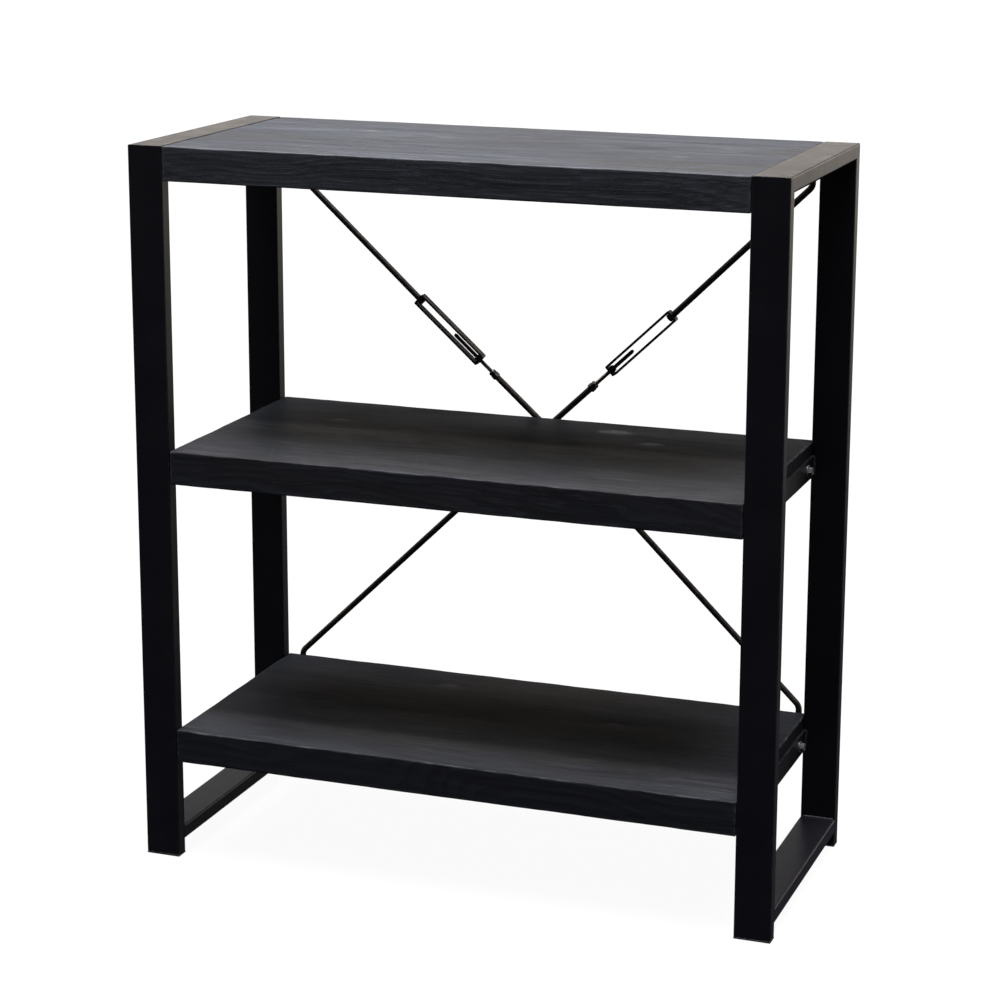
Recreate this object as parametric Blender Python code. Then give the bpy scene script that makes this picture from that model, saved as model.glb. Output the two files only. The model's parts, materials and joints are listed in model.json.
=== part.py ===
"""Low open bookcase: two flat-tube steel end frames, three thick boards and a rear cross of tie rods.

Metres, +Z up. X runs along the boards, Y from the front to the back. The origin is on the floor,
in the middle of the outer box. Two tie rods cross behind the boards, and each is drawn tight by an
open turnbuckle: turning it pulls the threaded lower rod up into it.
"""

import math

import bmesh
import bpy
from mathutils import Matrix, Vector

# Overall size
HEIGHT = 1.000
WIDTH = 0.904
FRAME_DEPTH = 0.378

# End frames: rectangular tube, its wide side to the front
TUBE_WIDE = 0.050
TUBE_THICK = 0.020
TUBE_WALL = 0.0015
TUBE_CORNER = 0.002
BOTTOM_RAIL_UNDERSIDE = 0.021
FOOT_SOLE = 0.003
FOOT_CORE_HEIGHT = 0.018
FOOT_EDGE = 0.0007

# Boards
BOARD_THICK = 0.047
BOARD_EDGE = 0.0012
TOPS = {"top_board": HEIGHT, "middle_shelf": 0.586, "bottom_shelf": 0.188}

# Flat steel bars that carry the boards' ends, and the coach screws through them.
# A screw's head is (half its width across flats, its height, its flange's radius and thickness).
BAR_THICK = 0.004
BAR_EDGE = 0.0004
SHELF_BAR_HEIGHT = 0.030
TOP_BAR_HEIGHT = 0.026
BOLT_INSET = 0.035
BOLT_SHANK = 0.0037
BOLT_LENGTH = 0.045
BOLT_HEAD = (0.0065, 0.0053, 0.0088, 0.0014)
BOLT_HOLE_IN_WOOD = 0.0040
BOLT_HOLE_IN_BAR = 0.0043

# Tie rods
ROD_RADIUS = 0.0045
ROD_SIDES = 16
ROD_OFF_BOARDS = 0.0049
ROD_CROSSING_STEP = 0.0094
TOP_BEND_X = 0.387
KNEE_PAST_LOOP = 0.003
BEND_RADIUS = 0.014
EYE_RADIUS = 0.009
EYE_THICK = 0.003
EYE_NECK = 0.010
EYE_FIRST_ANGLE = 150
EYE_ANGLE_STEP = 15
UPPER_EYE_HOLE = 0.0032
LOWER_EYE_HOLE = 0.0047

# Turnbuckle, measured along the rod from the point where the rods cross
LOOP_LOW = 0.1365
LOOP_HIGH = 0.2645
LOOP_WIDE = 0.018
LOOP_DEEP = 0.012
LOOP_SIDE_BAR = 0.0028
LOOP_END_BAR = 0.0036
LOOP_CORNER = 0.002
BOSS_RADIUS = 0.0048
BOSS_HEIGHT = 0.0085
SWIVEL_HEAD_RADIUS = 0.0056
SWIVEL_HEAD_HEIGHT = 0.005
SWIVEL_HOLE = 0.0046
STUD_RADIUS = 0.00295
STUD_HOLE = 0.00303
STUD_TIP = 0.184
NUT_ACROSS = 0.010
NUT_HEIGHT = 0.005
ROD_END_ACROSS = 0.011
ROD_END_LOW = 0.096
ROD_END_HIGH = 0.1025
ROD_END_BORE = 0.0033
ROD_END_WEB = 0.002
SCREW_SIDES = 10
SCREW_SHANK = 0.0027
SCREW_LENGTH = 0.032
SCREW_HEAD = (0.005, 0.004, 0.0072, 0.0012)
SCREW_HOLE_IN_WOOD = 0.0030

GAP = 0.0003
CUT_PAST = 0.004

# Each brace: where its line passes the middle and how steeply it rises, its upper and lower bends,
# how far it stands out behind its ends in the middle, and how far its turnbuckle and the end of its
# lower rod are moved along it by their adjustment
BRACES = {
    "left": {
        "middle_z": 0.5769, "slope": 0.8929, "top_bend_z": 0.9262, "bottom_bend": (0.389, 0.196),
        "step": 0.0, "loop_shift": -0.0102, "end_shift": -0.0035,
    },
    "right": {
        "middle_z": 0.5644, "slope": 0.9498, "top_bend_z": 0.9372, "bottom_bend": (0.3815, 0.192),
        "step": ROD_CROSSING_STEP, "loop_shift": 0.0, "end_shift": 0.0,
    },
}

BRACE_REACH = ROD_OFF_BOARDS + ROD_CROSSING_STEP + ROD_RADIUS
FRONT_Y = -(FRAME_DEPTH + BRACE_REACH) / 2
BACK_Y = FRONT_Y + FRAME_DEPTH
MIDDLE_Y = (FRONT_Y + BACK_Y) / 2
INNER_X = WIDTH / 2 - TUBE_WIDE
ROD_Y = BACK_Y + ROD_OFF_BOARDS
SIDES = {"left": -1, "right": 1}


def clear_scene():
    for old in list(bpy.data.objects):
        bpy.data.objects.remove(old, do_unlink=True)


def collection(name):
    made = bpy.data.collections.new(name)
    bpy.context.scene.collection.children.link(made)
    return made


def material(name, colour, roughness, metallic=0.0):
    made = bpy.data.materials.new(name)
    made.use_nodes = True
    shader = made.node_tree.nodes["Principled BSDF"]
    shader.inputs["Base Color"].default_value = (*colour, 1.0)
    shader.inputs["Roughness"].default_value = roughness
    shader.inputs["Metallic"].default_value = metallic
    return made


clear_scene()
PARTS = collection("bookcase")
CUTTERS = collection("cutters")
COAT = material("black_coated_steel", (0.018, 0.018, 0.021), 0.45)
WOOD = material("black_stained_wood", (0.026, 0.027, 0.032), 0.60)
ROD_STEEL = material("blackened_steel", (0.035, 0.030, 0.026), 0.40, 0.8)
ZINC = material("zinc_plated_steel", (0.42, 0.43, 0.44), 0.35, 1.0)
PLASTIC = material("black_plastic", (0.020, 0.020, 0.020), 0.55)


# ---- making and cutting solids ----


def add_object(name, data, group=None, look=None):
    made = bpy.data.objects.new(name, data)
    (group or PARTS).objects.link(made)
    if look:
        made.data.materials.clear()
        made.data.materials.append(look)
    return made


def mesh_from(name, bm):
    mesh = bpy.data.meshes.new(name)
    bm.to_mesh(mesh)
    bm.free()
    return mesh


def box_mesh(name, size, edge=0.0, edge_steps=1):
    """A box centred on its origin, with its edges eased when edge isn't 0."""
    bm = bmesh.new()
    bmesh.ops.create_cube(bm, size=1.0)
    bmesh.ops.scale(bm, vec=size, verts=bm.verts)
    if edge:
        edges = bm.edges[:]
        bmesh.ops.bevel(
            bm, geom=edges, offset=edge, segments=edge_steps, profile=0.5, affect="EDGES"
        )
    return mesh_from(name, bm)


def cylinder_mesh(name, radius, low, high, sides=24, top_radius=None):
    """A cylinder or cone along Z, from low to high."""
    bm = bmesh.new()
    upper = radius if top_radius is None else top_radius
    bmesh.ops.create_cone(
        bm, cap_ends=True, segments=sides, radius1=radius, radius2=upper, depth=high - low
    )
    bmesh.ops.translate(bm, vec=(0, 0, (low + high) / 2), verts=bm.verts)
    return mesh_from(name, bm)


def hexagon_mesh(name, across_flats, low, high):
    """A hexagonal bar along Z with two of its flats facing +Y and -Y."""
    corner = across_flats / 2 / math.cos(math.radians(30))
    mesh = cylinder_mesh(name, corner, low, high, 6)
    mesh.transform(Matrix.Rotation(math.radians(30), 4, "Z"))
    return mesh


def shade(obj, angle=math.radians(35)):
    obj.data.shade_smooth()
    obj.data.set_sharp_from_angle(angle=angle)


def cutter(name, mesh):
    made = add_object(name, mesh, CUTTERS)
    made.hide_render = True
    made.display_type = "WIRE"
    return made


def combine(obj, tool, operation):
    """Joins tool to obj, or cuts it out of it, with a Boolean modifier."""
    modifier = obj.modifiers.new(tool.name, "BOOLEAN")
    modifier.operation = operation
    modifier.solver = "EXACT"
    modifier.object = tool


def evaluated_mesh(obj, name):
    """The object's mesh with its modifiers applied, or a curve's own mesh with its caps welded."""
    bpy.context.view_layer.update()
    graph = bpy.context.evaluated_depsgraph_get()
    mesh = bpy.data.meshes.new_from_object(obj.evaluated_get(graph))
    mesh.name = name
    bm = bmesh.new()
    bm.from_mesh(mesh)
    bmesh.ops.remove_doubles(bm, verts=bm.verts, dist=1e-6)
    bmesh.ops.recalc_face_normals(bm, faces=bm.faces)
    bm.to_mesh(mesh)
    bm.free()
    return mesh


def rounded_rectangle(wide, high, radius, steps=3):
    """Points of a rectangle with round corners, anticlockwise, centred on the origin."""
    points = []
    for turn, (sx, sy) in enumerate(((1, 1), (-1, 1), (-1, -1), (1, -1))):
        centre = Vector((sx * (wide / 2 - radius), sy * (high / 2 - radius)))
        for step in range(steps + 1):
            angle = math.radians(90) * (turn + step / steps)
            points.append(centre + radius * Vector((math.cos(angle), math.sin(angle))))
    return points


def ring_bar(name, outer, inner, length):
    """A bar along Z whose section is the outline outer with the outline inner left open."""
    curve = bpy.data.curves.new(name, "CURVE")
    curve.dimensions = "2D"
    curve.fill_mode = "BOTH"
    curve.extrude = length / 2
    for outline in (outer, inner):
        spline = curve.splines.new("POLY")
        spline.points.add(len(outline) - 1)
        spline.use_cyclic_u = True
        for point, place in zip(spline.points, outline):
            point.co = (*place, 0.0, 1.0)
    flat = add_object(name + "_outline", curve, CUTTERS)
    mesh = evaluated_mesh(flat, name)
    bpy.data.objects.remove(flat, do_unlink=True)
    bpy.data.curves.remove(curve)
    return mesh


# ---- end frames ----


def flat_tube(name, length, location, along_y=False):
    outer = rounded_rectangle(TUBE_WIDE, TUBE_THICK, TUBE_CORNER)
    bore = rounded_rectangle(
        TUBE_WIDE - 2 * TUBE_WALL, TUBE_THICK - 2 * TUBE_WALL, TUBE_CORNER - TUBE_WALL, steps=1
    )
    tube = add_object(name, ring_bar(name, outer, bore, length), look=COAT)
    tube.location = location
    if along_y:
        tube.rotation_euler.x = math.radians(90)
    shade(tube)
    return tube


def mitre(obj, corner_y, side_y, keep_below):
    """Cuts obj at 45 degrees through the frame's top corner; side_y points from it into the frame."""
    size = 4 * TUBE_WIDE
    normal = Vector((0, side_y, 1)).normalized() * (1 if keep_below else -1)
    end = "front" if side_y > 0 else "rear"
    saw = cutter(f"{obj.name}_{end}_mitre", box_mesh("saw", (size,) * 3))
    middle = Vector((obj.location.x, corner_y, HEIGHT))
    saw.location = middle + normal * (size / 2 - GAP / 2)
    saw.rotation_euler.x = math.radians(45)
    combine(obj, saw, "DIFFERENCE")


def end_frame(side, sign):
    x = sign * (WIDTH - TUBE_WIDE) / 2
    ends = {"front": (FRONT_Y, 1), "rear": (BACK_Y, -1)}
    foot = FOOT_SOLE + GAP
    for end, (corner_y, inward) in ends.items():
        middle_y = corner_y + inward * TUBE_THICK / 2
        upright = flat_tube(
            f"{side}_{end}_upright", HEIGHT - foot, (x, middle_y, (HEIGHT + foot) / 2)
        )
        mitre(upright, corner_y, inward, keep_below=True)
        foot_plug(f"{side}_{end}_foot_plug", x, middle_y)
    top_rail = flat_tube(
        f"{side}_top_rail", FRAME_DEPTH, (x, MIDDLE_Y, HEIGHT - TUBE_THICK / 2), along_y=True
    )
    for corner_y, inward in ends.values():
        mitre(top_rail, corner_y, inward, keep_below=False)
    between = FRAME_DEPTH - 2 * (TUBE_THICK + GAP)
    bottom_z = BOTTOM_RAIL_UNDERSIDE + TUBE_THICK / 2
    flat_tube(f"{side}_bottom_rail", between, (x, MIDDLE_Y, bottom_z), along_y=True)


def foot_plug(name, x, y):
    """A push-in plug: a sole under the tube's edge and a core inside the tube."""
    sole_size = (TUBE_WIDE, TUBE_THICK, FOOT_SOLE)
    plug = add_object(name, box_mesh(name, sole_size, FOOT_EDGE), look=PLASTIC)
    plug.location = (x, y, FOOT_SOLE / 2)
    slack = 2 * (TUBE_WALL + GAP)
    core_low = FOOT_SOLE / 2
    core_size = (TUBE_WIDE - slack, TUBE_THICK - slack, FOOT_CORE_HEIGHT + core_low)
    core = cutter(name + "_core", box_mesh("core", core_size, FOOT_EDGE))
    core.location = (x, y, core_low + core_size[2] / 2)
    combine(plug, core, "UNION")


# ---- boards, their bars and the coach screws ----


def bar_height(board):
    return TOP_BAR_HEIGHT if board == "top_board" else SHELF_BAR_HEIGHT


def bolt_places(board):
    """The Y and Z of the two screws at each end of a board."""
    z = TOPS[board] - BOARD_THICK + GAP + bar_height(board) / 2
    reach = FRAME_DEPTH / 2 - TUBE_THICK - BOLT_INSET
    return {"front": (MIDDLE_Y - reach, z), "rear": (MIDDLE_Y + reach, z)}


def board(name):
    size = (2 * (INNER_X - GAP), FRAME_DEPTH, BOARD_THICK)
    made = add_object(name, box_mesh(name, size, BOARD_EDGE, edge_steps=2), look=WOOD)
    made.location = (0, MIDDLE_Y, TOPS[name] - BOARD_THICK / 2)
    for sign in SIDES.values():
        for y, z in bolt_places(name).values():
            drill = cylinder_mesh("bore", BOLT_HOLE_IN_WOOD, -CUT_PAST, BOLT_LENGTH, 16)
            bore = cutter(f"{name}_end_bore", drill)
            bore.location = (sign * (INNER_X - GAP), y, z)
            bore.rotation_euler.y = math.radians(-90 * sign)
            combine(made, bore, "DIFFERENCE")


def rod_screw_bore(name, x, z):
    drill = cylinder_mesh("bore", SCREW_HOLE_IN_WOOD, -CUT_PAST, SCREW_LENGTH, 16)
    bore = cutter(f"{name}_back_bore", drill)
    bore.location = (x, BACK_Y, z)
    bore.rotation_euler.x = math.radians(90)
    combine(bpy.data.objects[name], bore, "DIFFERENCE")


def end_bar(name, side, sign):
    """The flat bar welded between a frame's uprights, against one end of a board."""
    high = bar_height(name)
    length = FRAME_DEPTH - 2 * (TUBE_THICK + GAP)
    bar_name = f"{side}_{name}_bar"
    bar_size = (BAR_THICK, length, high)
    bar = add_object(bar_name, box_mesh(bar_name, bar_size, BAR_EDGE), look=COAT)
    x = sign * (INNER_X + GAP + BAR_THICK / 2)
    bar.location = (x, MIDDLE_Y, TOPS[name] - BOARD_THICK + GAP + high / 2)
    for end, (y, z) in bolt_places(name).items():
        drill = cylinder_mesh("hole", BOLT_HOLE_IN_BAR, -BAR_THICK, BAR_THICK, 16)
        hole = cutter(f"{bar_name}_{end}_hole", drill)
        hole.location = (x, y, z)
        hole.rotation_euler.y = math.radians(90)
        combine(bar, hole, "DIFFERENCE")


def hex_screw_mesh(name, head, shank, length):
    """A flanged hexagon screw along -Z, its flange's underside at the origin's height."""
    half_across, head_high, flange_radius, flange_high = head
    body = cutter(name + "_flange", cylinder_mesh("flange", flange_radius, 0, flange_high, 20))
    hexagon = hexagon_mesh("head", 2 * half_across, flange_high / 2, flange_high + head_high)
    taper = 2.5 * shank
    stem = cylinder_mesh("stem", shank, taper - length, flange_high / 2, SCREW_SIDES)
    point = cylinder_mesh(
        "point", shank / 4, -length, taper - length + shank / 2, SCREW_SIDES, shank
    )
    tools = [cutter(f"{name}_{mesh.name}", mesh) for mesh in (hexagon, stem, point)]
    for tool in tools:
        combine(body, tool, "UNION")
    whole = evaluated_mesh(body, name)
    for helper in (body, *tools):
        bpy.data.objects.remove(helper, do_unlink=True)
    return whole


def board_bolts(mesh):
    for board_name in TOPS:
        for side, sign in SIDES.items():
            for end, (y, z) in bolt_places(board_name).items():
                bolt = add_object(f"{side}_{board_name}_{end}_bolt", mesh, look=ZINC)
                bolt.location = (sign * (INNER_X + 2 * GAP + BAR_THICK), y, z)
                bolt.rotation_euler.y = math.radians(90 * sign)
                shade(bolt)


# ---- tie rods ----


def brace_line(side):
    """(direction up the turnbuckle's axis, top bend, crossing, bottom bend) of one brace."""
    brace_fit, sign = BRACES[side], SIDES[side]
    crossing = Vector((0, ROD_Y + brace_fit["step"], brace_fit["middle_z"]))
    rise = brace_fit["slope"] * TOP_BEND_X
    up = Vector((sign * TOP_BEND_X, -brace_fit["step"], rise)).normalized()
    top = Vector((sign * TOP_BEND_X, ROD_Y, brace_fit["top_bend_z"]))
    bottom_x, bottom_z = brace_fit["bottom_bend"]
    bottom = Vector((-sign * bottom_x, ROD_Y, bottom_z))
    return up, top, crossing, bottom


def eye_centre(bend, board_name):
    return Vector((bend.x, BACK_Y + GAP + EYE_THICK / 2, TOPS[board_name] - BOARD_THICK / 2))


def bent(start, corner, end, radius, steps=5):
    """Points of the arc that rounds a corner between two straight runs."""
    into, out = (corner - start).normalized(), (end - corner).normalized()
    angle = into.angle(out)
    reach = radius * math.tan(angle / 2)
    centre = corner - into * reach + (out - into * out.dot(into)).normalized() * radius
    spin = Matrix.Rotation(angle / steps, 3, into.cross(out))
    spoke = corner - into * reach - centre
    points = []
    for _ in range(steps + 1):
        points.append(centre + spoke)
        spoke = spin @ spoke
    return points


ROUND = 2
PLATE = 8


def section_ring(bm, middle, forward, half_wide, half_deep, squareness):
    """One closed ring of a rod: round where squareness is ROUND, and a plate's section at PLATE."""
    across = Vector((0, 1, 0)).cross(forward).normalized()
    deep = forward.cross(across).normalized()
    ring = []
    for side in range(ROD_SIDES):
        angle = 2 * math.pi * (side + 0.5) / ROD_SIDES
        c, s = math.cos(angle), math.sin(angle)
        flat_c = math.copysign(abs(c) ** (2 / squareness), c)
        flat_s = math.copysign(abs(s) ** (2 / squareness), s)
        ring.append(bm.verts.new(middle + across * half_wide * flat_c + deep * half_deep * flat_s))
    return ring


def loft(name, sections):
    """A closed solid through rings: (middle, forward, half_wide, half_deep, squareness) for each."""
    bm = bmesh.new()
    rings = [section_ring(bm, *section) for section in sections]
    for lower, upper in zip(rings, rings[1:]):
        for side in range(ROD_SIDES):
            following = (side + 1) % ROD_SIDES
            bm.faces.new((lower[side], lower[following], upper[following], upper[side]))
    bm.faces.new(rings[0])
    bm.faces.new(rings[-1])
    bmesh.ops.recalc_face_normals(bm, faces=bm.faces)
    return mesh_from(name, bm)


def eye_sections(last, eye):
    """The rod's end beaten flat: round below the eye, then a neck, then a disc round the eye."""
    outward = Vector((0, 0, math.copysign(1, eye.z - last.z)))
    off_plate = Vector((0, last.y - eye.y, 0))
    half = EYE_THICK / 2
    round_end = eye - outward * (EYE_RADIUS + EYE_NECK)
    halfway = eye - outward * (EYE_RADIUS + EYE_NECK / 2)
    sections = [
        (round_end + off_plate, outward, ROD_RADIUS, ROD_RADIUS, ROUND),
        (halfway + off_plate / 2, outward, ROD_RADIUS * 1.08, (ROD_RADIUS + half) / 2, 2.5),
    ]
    for angle in range(EYE_FIRST_ANGLE, -1, -EYE_ANGLE_STEP):
        turn = math.radians(angle)
        wide = max(EYE_RADIUS * math.sin(turn), EYE_RADIUS / 6)
        sections.append((eye + outward * EYE_RADIUS * math.cos(turn), outward, wide, half, PLATE))
    return sections


def rod_sections(start, knee, bend, eye):
    """Rings from start past the slight knee, along the straight rod, round the bend, into the eye."""
    first = (knee - start).normalized()
    forward = (bend - knee).normalized()
    sections = [
        (start, first, ROD_RADIUS, ROD_RADIUS, ROUND),
        (knee, (first + forward).normalized(), ROD_RADIUS, ROD_RADIUS, ROUND),
    ]
    vertical_end = Vector((bend.x, bend.y, eye.z))
    arc = bent(knee, bend, vertical_end, BEND_RADIUS)
    for place, following in zip(arc, arc[1:] + [vertical_end]):
        aim = (following - place).normalized()
        sections.append((place, aim, ROD_RADIUS, ROD_RADIUS, ROUND))
    return sections + eye_sections(arc[-1], eye)


def drill_eye(rod, eye, radius):
    hole = cutter(rod.name + "_eye_hole", cylinder_mesh("eye_hole", radius, -CUT_PAST, CUT_PAST))
    hole.location = eye
    hole.rotation_euler.x = math.radians(90)
    combine(rod, hole, "DIFFERENCE")


def upper_rod(name, axis, up, top, eye):
    """Runs from the swivel head inside the turnbuckle to the eye on the top board.

    axis is the point on the turnbuckle's axis that its heights are measured from."""
    head_top = LOOP_HIGH - LOOP_END_BAR - GAP
    head_low = head_top - SWIVEL_HEAD_HEIGHT
    chamfer = SWIVEL_HEAD_HEIGHT / 8
    nose = SWIVEL_HEAD_RADIUS - chamfer
    head = [
        (axis + up * head_low, up, nose, nose, ROUND),
        (axis + up * (head_low + chamfer), up, SWIVEL_HEAD_RADIUS, SWIVEL_HEAD_RADIUS, ROUND),
        (axis + up * head_top, up, SWIVEL_HEAD_RADIUS, SWIVEL_HEAD_RADIUS, ROUND),
    ]
    knee = axis + up * (LOOP_HIGH + KNEE_PAST_LOOP)
    sections = head + rod_sections(axis + up * head_top, knee, top, eye)
    rod = add_object(name, loft(name, sections), look=ROD_STEEL)
    drill_eye(rod, eye, UPPER_EYE_HOLE)
    shade(rod)


def lower_rod(name, end_frame, start, crossing, bottom, eye):
    """Runs from the hexagonal end that holds the stud, past the crossing, to the lower eye."""
    sections = rod_sections(start, crossing, bottom, eye)
    rod = add_object(name, loft(name, sections), look=ROD_STEEL)
    hexagon = cutter(
        name + "_hexagon", hexagon_mesh("hexagon", ROD_END_ACROSS, ROD_END_LOW, ROD_END_HIGH)
    )
    bore = cutter(
        name + "_bore",
        cylinder_mesh("bore", ROD_END_BORE, ROD_END_LOW + ROD_END_WEB, ROD_END_HIGH + CUT_PAST),
    )
    for tool in (hexagon, bore):
        tool.parent = end_frame
    combine(rod, hexagon, "UNION")
    combine(rod, bore, "DIFFERENCE")
    drill_eye(rod, eye, LOWER_EYE_HOLE)
    shade(rod)


def turnbuckle(name, axis_frame):
    """An open loop of flat bar: a plain hole at the top for the swivel, a threaded boss below."""
    length = LOOP_HIGH - LOOP_LOW
    outer = rounded_rectangle(LOOP_WIDE, length, LOOP_CORNER)
    window = rounded_rectangle(
        LOOP_WIDE - 2 * LOOP_SIDE_BAR, length - 2 * LOOP_END_BAR, LOOP_CORNER / 2, steps=2
    )
    loop = add_object(name, ring_bar(name, outer, window, LOOP_DEEP), look=ROD_STEEL)
    loop.data.transform(Matrix.Rotation(math.radians(90), 4, "X"))
    middle = (LOOP_LOW + LOOP_HIGH) / 2
    loop.parent = axis_frame
    loop.location.z = middle
    boss = cutter(
        name + "_boss", cylinder_mesh("boss", BOSS_RADIUS, LOOP_END_BAR / 2, BOSS_HEIGHT, 24)
    )
    boss.parent = axis_frame
    boss.location.z = LOOP_LOW
    combine(loop, boss, "UNION")
    for hole_name, radius, height in (
        ("swivel_hole", SWIVEL_HOLE, LOOP_HIGH),
        ("stud_hole", STUD_HOLE, LOOP_LOW),
    ):
        reach = BOSS_HEIGHT + CUT_PAST
        drill = cutter(f"{name}_{hole_name}", cylinder_mesh(hole_name, radius, -reach, reach, 32))
        drill.parent = axis_frame
        drill.location.z = height
        combine(loop, drill, "DIFFERENCE")
    shade(loop)


def stud(name, axis_frame):
    low = ROD_END_LOW + ROD_END_WEB + GAP
    rod = add_object(name, cylinder_mesh(name, STUD_RADIUS, low, STUD_TIP, 32), look=ROD_STEEL)
    rod.parent = axis_frame
    shade(rod)


def lock_nut(name, axis_frame):
    nut = add_object(name, hexagon_mesh(name, NUT_ACROSS, 0, NUT_HEIGHT), look=ROD_STEEL)
    nut.parent = axis_frame
    nut.location.z = ROD_END_HIGH + GAP
    reach = NUT_HEIGHT + CUT_PAST
    bore = cutter(name + "_bore", cylinder_mesh("bore", STUD_HOLE, -CUT_PAST, reach, 32))
    bore.parent = axis_frame
    bore.location.z = ROD_END_HIGH + GAP
    combine(nut, bore, "DIFFERENCE")
    shade(nut)


def rod_screw(name, mesh, eye, board_name):
    screw = add_object(name, mesh, look=ZINC)
    screw.location = (eye.x, BACK_Y + EYE_THICK + 2 * GAP, eye.z)
    screw.rotation_euler.x = math.radians(-90)
    shade(screw)
    rod_screw_bore(board_name, eye.x, eye.z)


def axis_empty(name, place, up):
    empty = bpy.data.objects.new(name, None)
    PARTS.objects.link(empty)
    empty.location = place
    empty.rotation_euler = up.to_track_quat("Z", "X").to_euler()
    return empty


def brace(side, screw_mesh):
    up, top, crossing, bottom = brace_line(side)
    loop_zero = crossing + up * BRACES[side]["loop_shift"]
    end_zero = crossing + up * BRACES[side]["end_shift"]
    loop_frame = axis_empty(f"{side}_loop_axis", loop_zero, up)
    end_frame = axis_empty(f"{side}_end_axis", end_zero, up)
    top_eye, bottom_eye = eye_centre(top, "top_board"), eye_centre(bottom, "bottom_shelf")
    upper_rod(f"{side}_brace_upper_rod", loop_zero, up, top, top_eye)
    turnbuckle(f"{side}_turnbuckle", loop_frame)
    stud(f"{side}_brace_stud", end_frame)
    lock_nut(f"{side}_brace_lock_nut", end_frame)
    rod_start = end_zero + up * (ROD_END_LOW + GAP)
    lower_rod(f"{side}_brace_lower_rod", end_frame, rod_start, crossing, bottom, bottom_eye)
    rod_screw(f"{side}_brace_top_screw", screw_mesh, top_eye, "top_board")
    rod_screw(f"{side}_brace_bottom_screw", screw_mesh, bottom_eye, "bottom_shelf")


def bookcase():
    for side, sign in SIDES.items():
        end_frame(side, sign)
    for name in TOPS:
        board(name)
        for side, sign in SIDES.items():
            end_bar(name, side, sign)
    board_bolts(hex_screw_mesh("coach_screw", BOLT_HEAD, BOLT_SHANK, BOLT_LENGTH - CUT_PAST))
    screw_mesh = hex_screw_mesh("rod_screw", SCREW_HEAD, SCREW_SHANK, SCREW_LENGTH - CUT_PAST)
    for side in SIDES:
        brace(side, screw_mesh)


bookcase()
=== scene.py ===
import json
import math

import bmesh
import bpy
import numpy as np
from mathutils import Matrix, Vector, noise


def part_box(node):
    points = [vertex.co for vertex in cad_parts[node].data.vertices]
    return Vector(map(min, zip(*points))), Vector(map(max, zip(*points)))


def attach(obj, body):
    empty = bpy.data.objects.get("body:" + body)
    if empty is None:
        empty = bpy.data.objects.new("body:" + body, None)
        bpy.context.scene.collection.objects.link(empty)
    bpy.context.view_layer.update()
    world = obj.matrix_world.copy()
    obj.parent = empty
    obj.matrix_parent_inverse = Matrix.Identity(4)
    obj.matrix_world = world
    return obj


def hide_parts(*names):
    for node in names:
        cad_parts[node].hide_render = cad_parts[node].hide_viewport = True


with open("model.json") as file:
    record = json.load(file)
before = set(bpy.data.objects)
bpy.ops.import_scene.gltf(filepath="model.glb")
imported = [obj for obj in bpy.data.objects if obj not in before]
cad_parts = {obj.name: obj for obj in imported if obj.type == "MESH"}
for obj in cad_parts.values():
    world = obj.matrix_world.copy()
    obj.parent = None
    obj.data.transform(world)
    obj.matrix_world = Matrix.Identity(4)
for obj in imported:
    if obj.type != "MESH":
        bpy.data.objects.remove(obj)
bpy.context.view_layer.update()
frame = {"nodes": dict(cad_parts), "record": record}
nodes = frame["nodes"]
joints = {joint["name"]: joint for joint in frame["record"]["behaviour"]["joints"]}

BOARDS = ("top_board", "middle_shelf", "bottom_shelf")

# Boards: solid staves glued edge to edge, arrises knocked off by hand.
STAVE_SEAMS = {
    "top_board": (-0.098, 0.004, 0.092),
    "middle_shelf": (-0.082, 0.018, 0.102),
    "bottom_shelf": (-0.104, -0.012, 0.078),
}
# How pale each stave's worn fibres are, from the front stave to the rear one. On the middle and bottom
# shelves the fall towards the rear is painted shade from the board above; on the top board the tones
# only differ at random.
STAVE_TONES_AND_SHADE = {
    "top_board": (1.00, 0.92, 1.05, 0.96),
    "middle_shelf": (0.68, 0.50, 0.14, 0.06),
    "bottom_shelf": (0.42, 0.10, 0.03, 0.12),
}
# Knots and worn patches, each at (x, y) with its half length along the grain.
KNOTS = {
    "top_board": ((-0.214, 0.071, 0.015), (0.268, -0.046, 0.011)),
    "middle_shelf": ((0.128, 0.128, 0.022), (0.196, 0.076, 0.018), (-0.262, 0.066, 0.012)),
    "bottom_shelf": ((0.162, 0.038, 0.014), (-0.118, 0.118, 0.017)),
}
# How much of that paleness the boards' upright edges keep: painted shade that makes the edges darker
# than the tops, darker still on the two shelves.
EDGE_PAINTED_SHADE = {"top_board": 0.62, "middle_shelf": 0.34, "bottom_shelf": 0.36}
KNOT_STRENGTH = {"top_board": 0.55, "middle_shelf": 0.75, "bottom_shelf": 0.25}
GRID_ALONG = 0.0052
GRID_ACROSS = 0.0046
GRID_DEEP = 0.0042
ARRIS_MOST = 0.0030
ARRIS_LEAST = 0.0011
SEAM_DEPTH = 0.00030
SEAM_HALF_WIDTH = 0.0008
STAVE_FADE = 0.022


# ---------------------------------------------------------------- camera, floor, light

DIM_ROOM = (0.044, 0.050, 0.066, 1)
COOL_ROOM = (0.12, 0.135, 0.165, 1)
BAND_LIGHT = (2.5, 2.26, 1.96, 1)
CEILING_LIGHT = (38.0, 38.6, 40.5, 1)


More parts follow.
